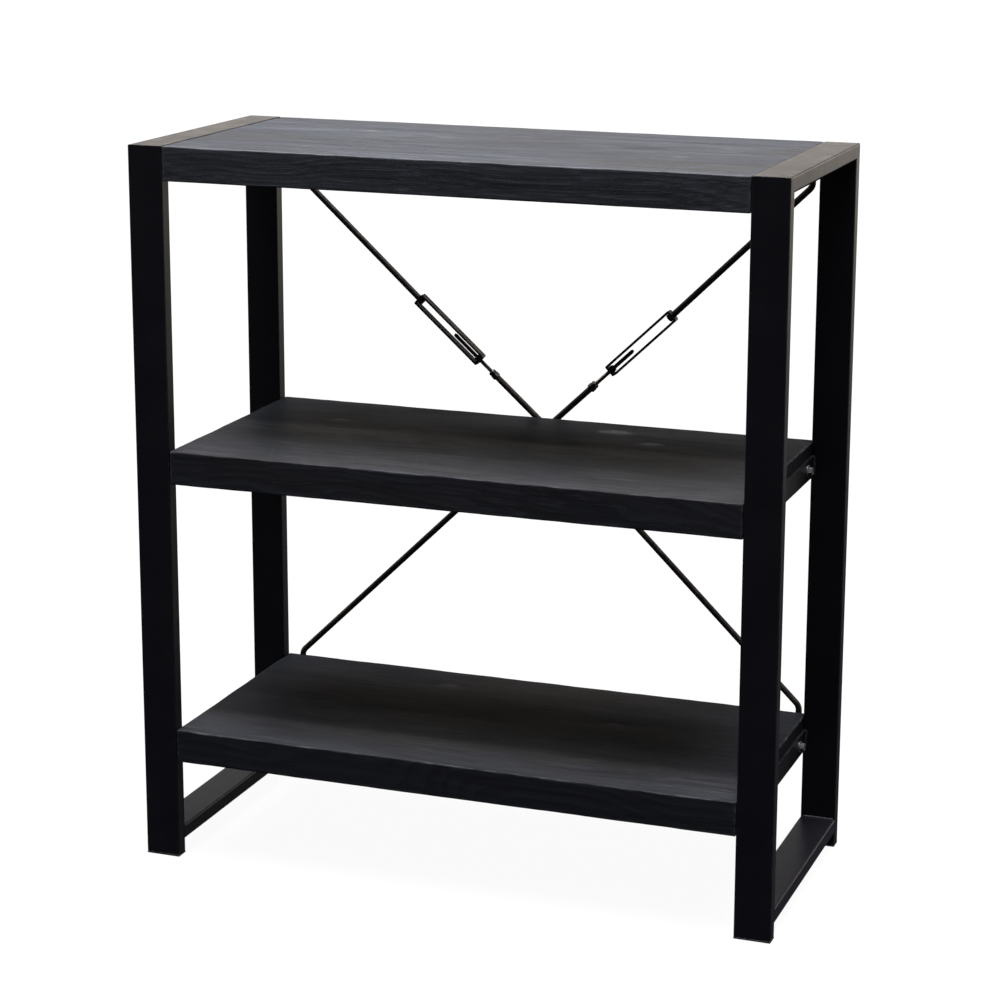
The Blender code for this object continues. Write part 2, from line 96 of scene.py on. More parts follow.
def place_camera():
    place = Vector((1.2406, -3.3725, 1.4343))
    yaw, pitch, roll = (math.radians(angle) for angle in (19.822, 13.194, 0.242))
    forward = Vector((
        -math.sin(yaw) * math.cos(pitch),
        math.cos(yaw) * math.cos(pitch),
        -math.sin(pitch),
    ))
    right = forward.cross(Vector((0, 0, 1))).normalized()
    up = right.cross(forward)
    across = math.cos(roll) * right + math.sin(roll) * up
    upright = -math.sin(roll) * right + math.cos(roll) * up
    turn = Matrix((across, upright, -forward)).transposed()
    data = bpy.data.cameras.new("camera")
    data.sensor_width = 36
    data.lens = 96.8
    data.shift_x = -0.015
    data.shift_y = -0.060
    data.clip_end = 200
    camera = bpy.data.objects.new("camera", data)
    camera.matrix_world = Matrix.Translation(place) @ turn.to_4x4()
    bpy.context.scene.collection.objects.link(camera)
    bpy.context.scene.camera = camera


class Graph:
    """A material's or world's node tree, with short calls for the nodes used here."""

    def __init__(self, owner):
        owner.use_nodes = True
        self.tree = owner.node_tree
        self.tree.nodes.clear()

    def add(self, kind, values=None, **settings):
        node = self.tree.nodes.new(kind)
        for key, value in settings.items():
            setattr(node, key, value)
        for key, value in (values or {}).items():
            self.put(node.inputs[key], value)
        return node

    def put(self, socket, value):
        if isinstance(value, bpy.types.NodeSocket):
            self.tree.links.new(value, socket)
        else:
            socket.default_value = value

    def math(self, operation, *values, clamp=False):
        node = self.add("ShaderNodeMath", operation=operation, use_clamp=clamp)
        for index, value in enumerate(values):
            self.put(node.inputs[index], value)
        return node.outputs[0]

    def vector(self, operation, *values):
        node = self.add("ShaderNodeVectorMath", operation=operation)
        for index, value in enumerate(values):
            self.put(node.inputs[index], value)
        scalar = operation in ("DOT_PRODUCT", "LENGTH", "DISTANCE")
        return node.outputs["Value" if scalar else "Vector"]

    def split(self, vector):
        node = self.add("ShaderNodeSeparateXYZ", {0: vector})
        return node.outputs

    def join(self, x, y, z):
        return self.add("ShaderNodeCombineXYZ", {0: x, 1: y, 2: z}).outputs[0]

    def noise(self, place, detail=2.0, roughness=0.5, distortion=0.0, scale=1.0):
        node = self.add(
            "ShaderNodeTexNoise",
            {
                "Vector": place, "Scale": scale, "Detail": detail,
                "Roughness": roughness, "Distortion": distortion,
            },
        )
        return node.outputs["Fac"]

    def range(self, value, low, high, to_low=0.0, to_high=1.0, smooth=False):
        node = self.add(
            "ShaderNodeMapRange",
            {
                "Value": value, "From Min": low, "From Max": high,
                "To Min": to_low, "To Max": to_high,
            },
            interpolation_type="SMOOTHSTEP" if smooth else "LINEAR",
        )
        return node.outputs[0]

    def blend(self, factor, first, second):
        node = self.add("ShaderNodeMix", data_type="RGBA")
        for name, value in (("Factor_Float", factor), ("A_Color", first), ("B_Color", second)):
            socket = next(item for item in node.inputs if item.identifier == name)
            self.put(socket, value)
        return next(item for item in node.outputs if item.identifier == "Result_Color")

    def bump(self, height, distance, strength=1.0, normal=None):
        node = self.add(
            "ShaderNodeBump", {"Height": height, "Distance": distance, "Strength": strength}
        )
        if normal is not None:
            self.put(node.inputs["Normal"], normal)
        return node.outputs[0]


def light_the_room():
    """A dark room behind the camera, a bright band behind the bookcase, a ceiling light above."""
    world = bpy.data.worlds.new("studio")
    bpy.context.scene.world = world
    g = Graph(world)
    way = g.add("ShaderNodeTexCoord").outputs["Generated"]
    x, y, z = g.split(way)
    away = g.range(y, -0.70, 0.60, 0.04, 1.0, smooth=True)
    rise = g.range(z, -0.24, 0.06, 0.0, 1.0, smooth=True)
    fall = g.range(z, 0.13, 0.21, 1.0, 0.0, smooth=True)
    band = g.math("MULTIPLY", g.math("MULTIPLY", rise, fall), away)
    above = g.vector("DOT_PRODUCT", way, (0.0, -0.05, 0.9987))
    ceiling = g.range(above, 0.86, 0.97, 0.0, 1.0, smooth=True)
    room = g.blend(g.range(z, 0.0, 0.9), DIM_ROOM, COOL_ROOM)
    band_light = g.blend(band, room, BAND_LIGHT)
    lit = g.blend(ceiling, band_light, CEILING_LIGHT)
    seen = g.add("ShaderNodeLightPath").outputs["Is Camera Ray"]
    colour = g.blend(seen, lit, (1.0, 1.0, 1.0, 1))
    background = g.add("ShaderNodeBackground", {"Color": colour, "Strength": 1.0})
    output = g.add("ShaderNodeOutputWorld")
    g.put(output.inputs["Surface"], background.outputs[0])


def add_light(name, place, aim, size, power, colour):
    data = bpy.data.lights.new(name, "AREA")
    data.shape = "RECTANGLE"
    data.size, data.size_y = size
    data.energy = power
    data.color = colour
    light = bpy.data.objects.new(name, data)
    light.location = place
    light.rotation_euler = (Vector(aim) - Vector(place)).to_track_quat("-Z", "Y").to_euler()
    bpy.context.scene.collection.objects.link(light)


def lay_floor():
    mesh = bpy.data.meshes.new("floor")
    reach = 80
    corners = [(-reach, -reach, 0), (reach, -reach, 0), (reach, reach, 0), (-reach, reach, 0)]
    mesh.from_pydata(corners, [], [(0, 1, 2, 3)])
    floor = bpy.data.objects.new("floor", mesh)
    bpy.context.scene.collection.objects.link(floor)
    floor.visible_glossy = False
    floor.visible_diffuse = False
    material = bpy.data.materials.new("floor_paint")
    g = Graph(material)
    glow = g.add("ShaderNodeEmission", {"Color": (1, 1, 1, 1), "Strength": 0.95})
    paint = g.add("ShaderNodeBsdfDiffuse", {"Color": (0.018, 0.018, 0.018, 1)})
    both = g.add("ShaderNodeAddShader", {0: glow.outputs[0], 1: paint.outputs[0]})
    output = g.add("ShaderNodeOutputMaterial")
    g.put(output.inputs["Surface"], both.outputs[0])
    mesh.materials.append(material)


# ---------------------------------------------------------------- materials


def finish_material(g, colour, roughness, normal, metallic=0.0, specular=0.5):
    shader = g.add("ShaderNodeBsdfPrincipled")
    g.put(shader.inputs["Base Color"], colour)
    g.put(shader.inputs["Roughness"], roughness)
    g.put(shader.inputs["Normal"], normal)
    shader.inputs["Metallic"].default_value = metallic
    g.put(shader.inputs["Specular IOR Level"], specular)
    output = g.add("ShaderNodeOutputMaterial")
    g.put(output.inputs["Surface"], shader.outputs[0])


def worn_edges(g, place, radius, scale):
    """Where an arris is rubbed, 0 to 1, broken up by noise."""
    rounded = g.add("ShaderNodeBevel", {"Radius": radius}, samples=4).outputs[0]
    straight = g.add("ShaderNodeNewGeometry").outputs["Normal"]
    bend = g.math("SUBTRACT", 1.0, g.vector("DOT_PRODUCT", rounded, straight))
    rubbed = g.range(bend, 0.02, 0.16, 0.0, 1.0)
    patches = g.range(g.noise(place, 4, 0.65, 0.0, scale), 0.47, 0.66, 0.0, 1.0)
    return g.math("MULTIPLY", rubbed, patches)


def powder_coat():
    """Black powder coat: fine orange peel, cloudy sheen, rubbed along the arrises."""
    material = bpy.data.materials.new("look_frame_coat")
    g = Graph(material)
    place = g.add("ShaderNodeTexCoord").outputs["Object"]
    clouds = g.noise(place, 4, 0.6, 0.4, 14)
    drawn = g.noise(g.vector("MULTIPLY", place, (60, 60, 5)), 3, 0.6)
    peel = g.noise(place, 3, 0.55, 0.0, 620)
    fine = g.noise(place, 2, 0.5, 0.0, 2600)
    wear = worn_edges(g, place, 0.0016, 90)
    dust = g.range(g.noise(place, 6, 0.75, 0.0, 160), 0.66, 0.72, 0.0, 1.0)
    colour = g.blend(clouds, (0.0014, 0.0013, 0.0022, 1), (0.0034, 0.0032, 0.0044, 1))
    colour = g.blend(g.math("MULTIPLY", dust, 0.3), colour, (0.018, 0.018, 0.019, 1))
    colour = g.blend(g.math("MULTIPLY", wear, 0.75), colour, (0.060, 0.056, 0.054, 1))
    sheen = g.math("ADD", g.range(clouds, 0.3, 0.7, 0.31, 0.36), g.range(drawn, 0.3, 0.7, -0.02, 0.03))
    height = g.math("ADD", peel, g.math("MULTIPLY", fine, 0.25))
    normal = g.bump(height, 0.00012, 0.55)
    finish_material(g, colour, sheen, normal, specular=0.22)
    return material


def shelf_wood(board):
    """Black-stained timber: ring figure, fibres, pores and knots, worn lighter on the high fibres,
    with painted shade that darkens the shelves' rear staves and the boards' upright edges.
    """
    seams = STAVE_SEAMS[board]
    seed = BOARDS.index(board) * 7.31 + 1.7
    material = bpy.data.materials.new(f"look_wood_{board}")
    g = Graph(material)
    place = g.add("ShaderNodeTexCoord").outputs["Object"]
    x, y, z = g.split(place)
    tones_and_shade = STAVE_TONES_AND_SHADE[board]
    meander = g.noise(g.vector("MULTIPLY", place, (3, 0, 0)), 1)
    edge_y = g.math("ADD", y, g.range(meander, 0, 1, -0.014, 0.014))
    stave = seed
    # Paleness of the worn fibres per stave; on the shelves it falls to painted shade towards the rear.
    pallor_and_shade = tones_and_shade[0]
    for index, seam in enumerate(seams):
        stave = g.math("ADD", stave, g.math("GREATER_THAN", y, seam))
        change = tones_and_shade[index + 1] - tones_and_shade[index]
        step = g.range(edge_y, seam - STAVE_FADE, seam + STAVE_FADE, 0.0, change, smooth=True)
        pallor_and_shade = g.math("ADD", pallor_and_shade, step)
    # Painted shade: faces that don't face up keep only part of the tops' paleness, less on the shelves
    # than on the top board.
    turned = g.split(g.add("ShaderNodeTexCoord").outputs["Normal"])[2]
    upward = g.range(turned, 0.5, 0.9, 0.0, 1.0, smooth=True)
    pallor_and_shade = g.math("MULTIPLY", pallor_and_shade, g.range(upward, 0.0, 1.0, EDGE_PAINTED_SHADE[board], 1.0))
    chance = g.add("ShaderNodeTexWhiteNoise", {"W": stave}, noise_dimensions="1D")
    tone = chance.outputs["Value"]
    colours = g.split(chance.outputs["Color"])
    shift = g.math("MULTIPLY", tone, 9.0)
    moved = g.join(g.math("ADD", x, shift), y, z)

    slow = g.add(
        "ShaderNodeTexNoise",
        {"Vector": g.vector("MULTIPLY", moved, (2.1, 5, 5)), "Scale": 1.0, "Detail": 2.0},
    ).outputs["Color"]
    sway = g.vector("MULTIPLY", g.vector("SUBTRACT", slow, (0.5, 0.5, 0.5)), (0, 0.085, 0.050))
    swayed = g.vector("ADD", place, sway)
    _, yy, zz = g.split(swayed)

    knot_mark = 0.0
    bulge = 0.0
    for kx, ky, half in KNOTS[board]:
        dx = g.math("MULTIPLY", g.math("SUBTRACT", x, kx), 1 / half)
        dy = g.math("MULTIPLY", g.math("SUBTRACT", y, ky), 1 / (half * 0.5))
        reach = g.math("SQRT", g.math("ADD", g.math("MULTIPLY", dx, dx), g.math("MULTIPLY", dy, dy)))
        frayed = g.noise(g.vector("MULTIPLY", place, (60, 260, 260)), 3, 0.6)
        ragged = g.math("ADD", reach, g.range(frayed, 0, 1, -0.8, 0.8))
        knot_mark = g.math("MAXIMUM", knot_mark, g.range(ragged, 1.35, 0.55, 0.0, 1.0, smooth=True))
        swell = g.range(reach, 4.5, 0.0, 0.0, half * 0.7, smooth=True)
        bulge = g.math("ADD", bulge, swell)

    pith_y = g.math("ADD", g.math("MULTIPLY", g.math("SUBTRACT", colours[0], 0.5), 0.10), 0.0)
    pith_z = g.range(colours[1], 0.0, 1.0, -0.150, -0.060)
    middle = {"top_board": 0.976, "middle_shelf": 0.5625, "bottom_shelf": 0.1645}[board]
    ry = g.math("SUBTRACT", yy, pith_y)
    rz = g.math("SUBTRACT", zz, g.math("ADD", pith_z, middle))
    radius = g.math("SQRT", g.math("ADD", g.math("MULTIPLY", ry, ry), g.math("MULTIPLY", rz, rz)))
    radius = g.math("ADD", radius, bulge)
    ring_wide = g.range(colours[2], 0.0, 1.0, 0.0042, 0.0068)
    turns = g.math("DIVIDE", radius, ring_wide)
    ring = g.math("FRACT", turns)
    late = g.math("MULTIPLY", g.range(ring, 0.35, 0.92, 0.0, 1.0), g.range(ring, 0.92, 1.0, 1.0, 0.0))

    fibre_place = g.join(
        g.math("MULTIPLY", g.math("ADD", x, shift), 9.0),
        g.math("MULTIPLY", g.math("ADD", yy, bulge), 560.0),
        g.math("MULTIPLY", zz, 560.0),
    )
    fibre = g.noise(fibre_place, 4, 0.62)
    strand_place = g.join(
        g.math("MULTIPLY", g.math("ADD", x, shift), 2.6),
        g.math("MULTIPLY", g.math("ADD", yy, bulge), 95.0),
        g.math("MULTIPLY", zz, 95.0),
    )
    strand = g.noise(strand_place, 3, 0.6)
    pore_place = g.join(
        g.math("MULTIPLY", g.math("ADD", x, shift), 90.0),
        g.math("MULTIPLY", yy, 1900.0),
        g.math("MULTIPLY", zz, 1900.0),
    )
    pore = g.range(g.noise(pore_place, 1, 0.5), 0.62, 0.72, 0.0, 1.0)
    saw_place = g.join(
        g.math("MULTIPLY", x, 240.0),
        g.math("MULTIPLY", y, 14.0),
        g.math("MULTIPLY", z, 14.0),
    )
    saw = g.noise(saw_place, 2, 0.5)
    cloud = g.noise(g.vector("MULTIPLY", moved, (3.0, 9.0, 9.0)), 4, 0.6, 0.6)
    cloud_place = g.vector("ADD", g.vector("MULTIPLY", place, (2.2, 7.0, 7.0)), (seed, 4.0, 2.0))
    cloud_two = g.noise(cloud_place, 3, 0.55)

    dark = (0.0050, 0.0052, 0.0062, 1)
    mid = (0.0300, 0.0318, 0.0376, 1)
    brown = (0.0130, 0.0100, 0.0072, 1)
    pale = (0.0900, 0.0950, 0.1090, 1)
    # Fibre paleness scaled by the stave paleness, which carries the painted shade of the shelves' rear
    # staves and upright edges.
    colour = g.blend(g.math("MULTIPLY", g.range(strand, 0.28, 0.72), pallor_and_shade), dark, mid)
    browned = g.math("MULTIPLY", g.range(cloud_two, 0.50, 0.72), g.range(upward, 0.0, 1.0, 0.15, 0.75))
    colour = g.blend(browned, colour, brown)
    colour = g.blend(g.math("MULTIPLY", late, 0.55), colour, (0.0042, 0.0044, 0.0056, 1))
    high = g.math("MULTIPLY", g.range(fibre, 0.50, 0.74), g.range(cloud, 0.36, 0.66, 0.08, 1.0))
    # This scaling also paints shade on the shelves' rear staves and the upright edges.
    high = g.math("MULTIPLY", high, pallor_and_shade)
    colour = g.blend(g.math("MULTIPLY", high, 0.55), colour, pale)
    colour = g.blend(g.math("MULTIPLY", pore, 0.70), colour, (0.003, 0.003, 0.004, 1))
    arris = g.add("ShaderNodeAttribute", attribute_name="arris").outputs["Fac"]
    patchy = g.noise(g.vector("MULTIPLY", place, (28, 160, 160)), 4, 0.7)
    rubbed = g.math("MULTIPLY", arris, g.range(patchy, 0.44, 0.66))
    colour = g.blend(g.math("MULTIPLY", rubbed, 0.60), colour, (0.060, 0.060, 0.064, 1))
    knot_ring = g.noise(g.vector("MULTIPLY", place, (150, 520, 520)), 4, 0.65)
    knot_share = g.range(knot_ring, 0.35, 0.65)
    knot_colour = g.blend(knot_share, (0.008, 0.007, 0.006, 1), (0.090, 0.087, 0.085, 1))
    colour = g.blend(g.math("MULTIPLY", knot_mark, KNOT_STRENGTH[board]), colour, knot_colour)

    roughness = g.range(fibre, 0.3, 0.7, 0.66, 0.54)
    roughness = g.math("ADD", roughness, g.range(cloud, 0.35, 0.65, 0.05, -0.05))
    height = g.math("ADD", g.math("MULTIPLY", fibre, 0.9), g.math("MULTIPLY", strand, 0.7))
    height = g.math("ADD", height, g.math("MULTIPLY", late, 0.45))
    height = g.math("SUBTRACT", height, g.math("MULTIPLY", pore, 0.9))
    height = g.math("ADD", height, g.math("MULTIPLY", saw, 0.35))
    normal = g.bump(height, 0.00022, 0.75)
    # Specular follows the stave paleness, so the painted-shade staves of the shelves also reflect
    # less.
    oil_and_shade_specular = g.range(pallor_and_shade, 0.15, 1.0, 0.02, 0.20)
    finish_material(g, colour, roughness, normal, specular=oil_and_shade_specular)
    return material


def blackened_steel():
    material = bpy.data.materials.new("look_rod_steel")
    g = Graph(material)
    place = g.add("ShaderNodeTexCoord").outputs["Object"]
    blotch = g.noise(place, 5, 0.62, 0.5, 55)
    drawn = g.noise(place, 3, 0.6, 0.0, 420)
    wear = worn_edges(g, place, 0.0007, 260)
    colour = g.blend(g.range(blotch, 0.34, 0.68), (0.012, 0.0105, 0.010, 1), (0.040, 0.029, 0.020, 1))
    colour = g.blend(g.math("MULTIPLY", wear, 0.7), colour, (0.17, 0.155, 0.14, 1))
    roughness = g.range(blotch, 0.3, 0.7, 0.30, 0.46)
    normal = g.bump(g.math("ADD", drawn, g.math("MULTIPLY", blotch, 0.6)), 0.00009, 0.6)
    finish_material(g, colour, roughness, normal, metallic=0.55)
    return material


def dull_zinc():
    material = bpy.data.materials.new("look_zinc_fastener")
    g = Graph(material)
    place = g.add("ShaderNodeTexCoord").outputs["Object"]
    spangle = g.noise(place, 4, 0.6, 0.0, 480)
    grime = g.noise(place, 4, 0.65, 0.0, 150)
    wear = worn_edges(g, place, 0.0006, 300)
    colour = g.blend(spangle, (0.085, 0.085, 0.088, 1), (0.17, 0.17, 0.175, 1))
    colour = g.blend(g.range(grime, 0.42, 0.66), colour, (0.030, 0.026, 0.023, 1))
    colour = g.blend(g.math("MULTIPLY", wear, 0.6), colour, (0.40, 0.40, 0.39, 1))
    roughness = g.range(grime, 0.35, 0.65, 0.34, 0.58)
    normal = g.bump(spangle, 0.00006, 0.6)
    finish_material(g, colour, roughness, normal, metallic=0.85)
    return material


def moulded_plastic():
    material = bpy.data.materials.new("look_foot_plastic")
    g = Graph(material)
    place = g.add("ShaderNodeTexCoord").outputs["Object"]
    spark = g.noise(place, 3, 0.6, 0.0, 1800)
    scuff = g.noise(g.vector("MULTIPLY", place, (260, 260, 900)), 4, 0.65)
    colour = g.blend(g.range(scuff, 0.48, 0.68), (0.004, 0.004, 0.005, 1), (0.012, 0.012, 0.012, 1))
    roughness = g.range(scuff, 0.35, 0.65, 0.48, 0.66)
    normal = g.bump(spark, 0.00010, 0.7)
    finish_material(g, colour, roughness, normal, specular=0.25)
    return material


# ---------------------------------------------------------------- mesh helpers


def make_piece(name, verts, faces, material, body, stands_for=(), smooth_angle=35):
    mesh = bpy.data.meshes.new(name)
    mesh.from_pydata(verts, [], faces)
    mesh.validate()
    shell = bmesh.new()
    shell.from_mesh(mesh)
    bmesh.ops.recalc_face_normals(shell, faces=shell.faces)
    if shell.calc_volume(signed=True) < 0:
        bmesh.ops.reverse_faces(shell, faces=shell.faces)
    shell.to_mesh(mesh)
    shell.free()
    mesh.materials.append(material)
    piece = bpy.data.objects.new(name, mesh)
    bpy.context.scene.collection.objects.link(piece)
    mesh.shade_smooth()
    mesh.set_sharp_from_angle(angle=math.radians(smooth_angle))
    if stands_for:
        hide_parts(*stands_for)
    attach(piece, body)
    return piece


def spaced(low, high, step, extra=()):
    count = max(2, round((high - low) / step) + 1)
    near = [ARRIS_MOST * (1 - math.tan(math.radians(angle))) for angle in (45, 33, 22, 11, 0)]
    clear = ARRIS_MOST * 1.3
    inner = [value for value in np.linspace(low, high, count) if low + clear < value < high - clear]
    for place in extra:
        inner = [value for value in inner if abs(value - place) > 2.4 * SEAM_HALF_WIDTH]
        inner += [place + offset * SEAM_HALF_WIDTH for offset in (-2.2, -1, 0, 1, 2.2)]
    ends = [low + value for value in near] + [high - value for value in near]
    return np.array(sorted(inner + ends))


def lattice_shell(xs, ys, zs):
    """The outer skin of a box lattice: its points and its outward quads."""
    shape = (len(xs), len(ys), len(zs))
    on_skin = np.zeros(shape, bool)
    for axis in range(3):
        for end in (0, -1):
            where = [slice(None)] * 3
            where[axis] = end
            on_skin[tuple(where)] = True
    number = np.full(shape, -1)
    number[on_skin] = np.arange(on_skin.sum())
    i, j, k = np.nonzero(on_skin)
    points = np.stack([xs[i], ys[j], zs[k]], 1)
    quads = []
    for axis in range(3):
        for end in (0, -1):
            where = [slice(None)] * 3
            where[axis] = end
            sheet = number[tuple(where)]
            a, b, c, d = sheet[:-1, :-1], sheet[1:, :-1], sheet[1:, 1:], sheet[:-1, 1:]
            flip = (end == -1) == (axis == 1)
            order = (a, d, c, b) if flip else (a, b, c, d)
            if end == 0:
                order = (order[0], order[3], order[2], order[1]) if axis != 1 else order
            quads.append(np.stack([part.ravel() for part in order], 1))
    return points, np.concatenate(quads)


def make_board(board, material):
    low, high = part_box(board)
    xs = spaced(low.x, high.x, GRID_ALONG)
    ys = spaced(low.y, high.y, GRID_ACROSS, STAVE_SEAMS[board])
    zs = spaced(low.z, high.z, GRID_DEEP)
    points, quads = lattice_shell(xs, ys, zs)
    seed = 3.7 * (BOARDS.index(board) + 1)
    lows, highs = np.array(low), np.array(high)
    shaped = np.empty_like(points)
    arris = np.empty(len(points))
    for index, (x, y, z) in enumerate(points):
        chance = noise.noise(Vector((x * 23 + seed, y * 23, z * 9)))
        nick = noise.noise(Vector((x * 90, y * 90 + seed, z * 40)))
        rubbing = min(1, max(0, 0.38 + 0.85 * chance + 0.30 * nick))
        radius = ARRIS_LEAST + (ARRIS_MOST - ARRIS_LEAST) * rubbing
        point = np.array((x, y, z))
        core = np.clip(point, lows + radius, highs - radius)
        out = point - core
        length = np.linalg.norm(out)
        out = out / length
        spot = core + out * radius
        sink = 0.0
        if abs(out[2]) > 0.9:
            for seam in STAVE_SEAMS[board]:
                away = (y - seam) / SEAM_HALF_WIDTH
                uneven = 0.55 + 0.45 * noise.noise(Vector((x * 14, seam * 90, seed)))
                sink += SEAM_DEPTH * math.exp(-away * away) * uneven
            for kx, ky, half in KNOTS[board]:
                reach = math.hypot((x - kx) / half, (y - ky) / (half * 0.5))
                sink += 0.00035 * math.exp(-((reach - 1) ** 2) * 3)
        wave = noise.noise(Vector((x * 5 + seed, y * 16, z * 16)))
        ripple = noise.noise(Vector((x * 18, y * 60 + seed, z * 60)))
        sink += 0.00022 * (1 + wave) + 0.00006 * (1 + ripple)
        shaped[index] = spot - out * sink
        spread = sorted(np.minimum(point - lows, highs - point))
        arris[index] = math.exp(-(spread[1] / 0.0022) ** 2) if spread[0] < 1e-6 else 0
    piece = make_piece(
        f"{board}_timber", shaped.tolist(), quads.tolist(), material, "frame",
        (board,), 60,
    )
    layer = piece.data.attributes.new("arris", "FLOAT", "POINT")
    layer.data.foreach_set("value", arris.astype(np.float32))
    return piece


# ---------------------------------------------------------------- fasteners, threads, welds

AROUND = 60


def hexagon_reach(angle, across_flats):
    turn = (angle + math.pi / 6) % (math.pi / 3) - math.pi / 6
    return across_flats / 2 / math.cos(turn)


def turned(rings, place, closed=False):
    """A lathe form as points and faces. Each ring is (height, radius) or (height, radius, across
    flats), which is cut to a hexagon. place takes local points to the row frame. A closed form joins
    its last ring to its first, and leaves a bore."""
    verts, faces = [], []
    for height, radius, *flats in rings:
        for step in range(AROUND):
            angle = 2 * math.pi * step / AROUND
            reach = min([radius] + [hexagon_reach(angle, wide) for wide in flats])
            verts.append(place @ Vector((reach * math.cos(angle), reach * math.sin(angle), height)))
    count = len(rings)
    for index in range(count if closed else count - 1):
        here, there = index * AROUND, (index + 1) % count * AROUND
        for step in range(AROUND):
            after = (step + 1) % AROUND
            faces.append((here + step, here + after, there + after, there + step))
    if not closed:
        faces.append(tuple(reversed(range(AROUND))))
        faces.append(tuple((count - 1) * AROUND + step for step in range(AROUND)))
    return verts, faces


def axes_at(origin, up):
    """A matrix whose local Z runs along up, and whose local Y stays nearest to the row's Y."""
    up = up.normalized()
    guide = Vector((0, 1, 0)) if abs(up.y) < 0.9 else Vector((0, 0, 1))
    side_y = (guide - up * up.dot(guide)).normalized()
    side_x = side_y.cross(up)
    turn = Matrix((side_x, side_y, up)).transposed()
    return Matrix.Translation(origin) @ turn.to_4x4()


def flanged_screw(name, node, seat, tip, shank_end, material):
    """A hexagon head with a flange, pressed on its seat, with its shank going the other way."""
    low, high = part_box(node)
    out = (tip - seat).normalized()
    head = (tip - seat).length
    sizes = sorted(high - low)
    flange = sizes[0] / 2
    flats = flange * 1.24
    depth = (shank_end - seat).length
    rings = [
        (-depth, 0.0004), (-depth + 0.004, flange * 0.36), (0.0, flange * 0.36),
        (0.0, flange * 0.95), (0.0003, flange), (0.0010, flange), (0.0014, flange * 0.93),
        (0.0016, flange * 0.80, flats), (head - 0.0012, flange * 0.72, flats),
        (head - 0.0005, flange * 0.67, flats), (head - 0.0001, flange * 0.60, flats),
        (head, flange * 0.54, flats), (head - 0.0003, flange * 0.46), (head - 0.0004, flange * 0.10),
    ]
    verts, faces = turned(rings, axes_at(seat, out))
    make_piece(name, verts, faces, material, "frame", (node,), 32)


ROD_SCREW_HEAD = 0.0049


def all_screws(material):
    for side, sign in (("left", -1), ("right", 1)):
        for board in BOARDS:
            bar_low, bar_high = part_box(f"{side}_{board}_bar")
            for end in ("front", "rear"):
                node = f"{side}_{board}_{end}_bolt"
                low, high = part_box(node)
                centre = (low + high) / 2
                seat_x = bar_high.x if sign > 0 else bar_low.x
                tip_x, shank_x = (high.x, low.x) if sign > 0 else (low.x, high.x)
                seat = Vector((seat_x, centre.y, centre.z))
                tip = Vector((tip_x, centre.y, centre.z))
                shank_end = Vector((shank_x, centre.y, centre.z))
                flanged_screw(f"{node}_head", node, seat, tip, shank_end, material)
        for end in ("top", "bottom"):
            node = f"{side}_brace_{end}_screw"
            low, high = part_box(node)
            centre = (low + high) / 2
            seat_y = high.y - ROD_SCREW_HEAD
            seat = Vector((centre.x, seat_y, centre.z))
            tip = Vector((centre.x, high.y, centre.z))
            shank_end = Vector((centre.x, low.y, centre.z))
            flanged_screw(f"{node}_head", node, seat, tip, shank_end, material)


def brace_axes(side):
    turn = joints[f"{side}_turnbuckle_turn"]
    return axes_at(Vector(turn["pos_m"]), Vector(turn["axis"]))


def along(node, place):
    """The lowest and highest points of a node, measured along the local Z of place."""
    back = place.inverted()
    heights = [(back @ vertex.co).z for vertex in nodes[node].data.vertices]
    return min(heights), max(heights)


THREAD_PITCH = 0.001
THREAD_OUTER = 0.00295
THREAD_ROOT = 0.00245
THREAD_AROUND = 24
THREAD_ROWS = 8


def threaded_stud(side, material):
    """A stud with a helical thread, chamfered at both ends."""
    node = f"{side}_brace_stud"
    place = brace_axes(side)
    low, high = along(node, place)
    rows = int((high - low) / THREAD_PITCH * THREAD_ROWS)
    verts, faces = [], []
    for row in range(rows + 1):
        height = low + (high - low) * row / rows
        taper = min(1.0, 0.55 + (high - height) / 0.006, 0.7 + (height - low) / 0.002)
        for step in range(THREAD_AROUND):
            angle = 2 * math.pi * step / THREAD_AROUND
            phase = ((height - low) / THREAD_PITCH - step / THREAD_AROUND) % 1
            crest = min(1.0, max(0.0, 2.6 * (0.5 - abs(phase - 0.5)) - 0.15))
            radius = THREAD_ROOT + (THREAD_OUTER - THREAD_ROOT) * crest
            radius = min(radius, THREAD_OUTER * taper)
            verts.append(place @ Vector((radius * math.cos(angle), radius * math.sin(angle), height)))
    for row in range(rows):
        for step in range(THREAD_AROUND):
            after = (step + 1) % THREAD_AROUND
            here, there = row * THREAD_AROUND, (row + 1) * THREAD_AROUND
            faces.append((here + step, here + after, there + after, there + step))
    faces.append(tuple(reversed(range(THREAD_AROUND))))
    faces.append(tuple(rows * THREAD_AROUND + step for step in range(THREAD_AROUND)))
    body = f"{side}_draw_rod"
    make_piece(f"{side}_brace_thread", verts, faces, material, body, (node,), 50)


def chamfered_nut(side, material):
    node = f"{side}_brace_lock_nut"
    place = brace_axes(side)
    low, high = along(node, place)
    flats = 0.010
    corner = flats / 2 / math.cos(math.pi / 6)
    bore = 0.00305
    cut = 0.0007
    rings = [
        (low, flats * 0.485, flats), (low + cut, corner, flats), (high - cut, corner, flats),
        (high, flats * 0.485, flats), (high, bore + cut / 2), (high - cut / 2, bore),
        (low + cut / 2, bore), (low, bore + cut / 2),
    ]
    turn = Matrix.Rotation(math.radians(30), 4, "Z")
    verts, faces = turned(rings, place @ turn, closed=True)
    body = f"{side}_lock_nut"
    make_piece(f"{side}_brace_nut", verts, faces, material, body, (node,), 30)


WELD_LEG = 0.0024
WELD_RIPPLE = 0.0021
WELD_ROWS = 5
WELD_POINTS = 7


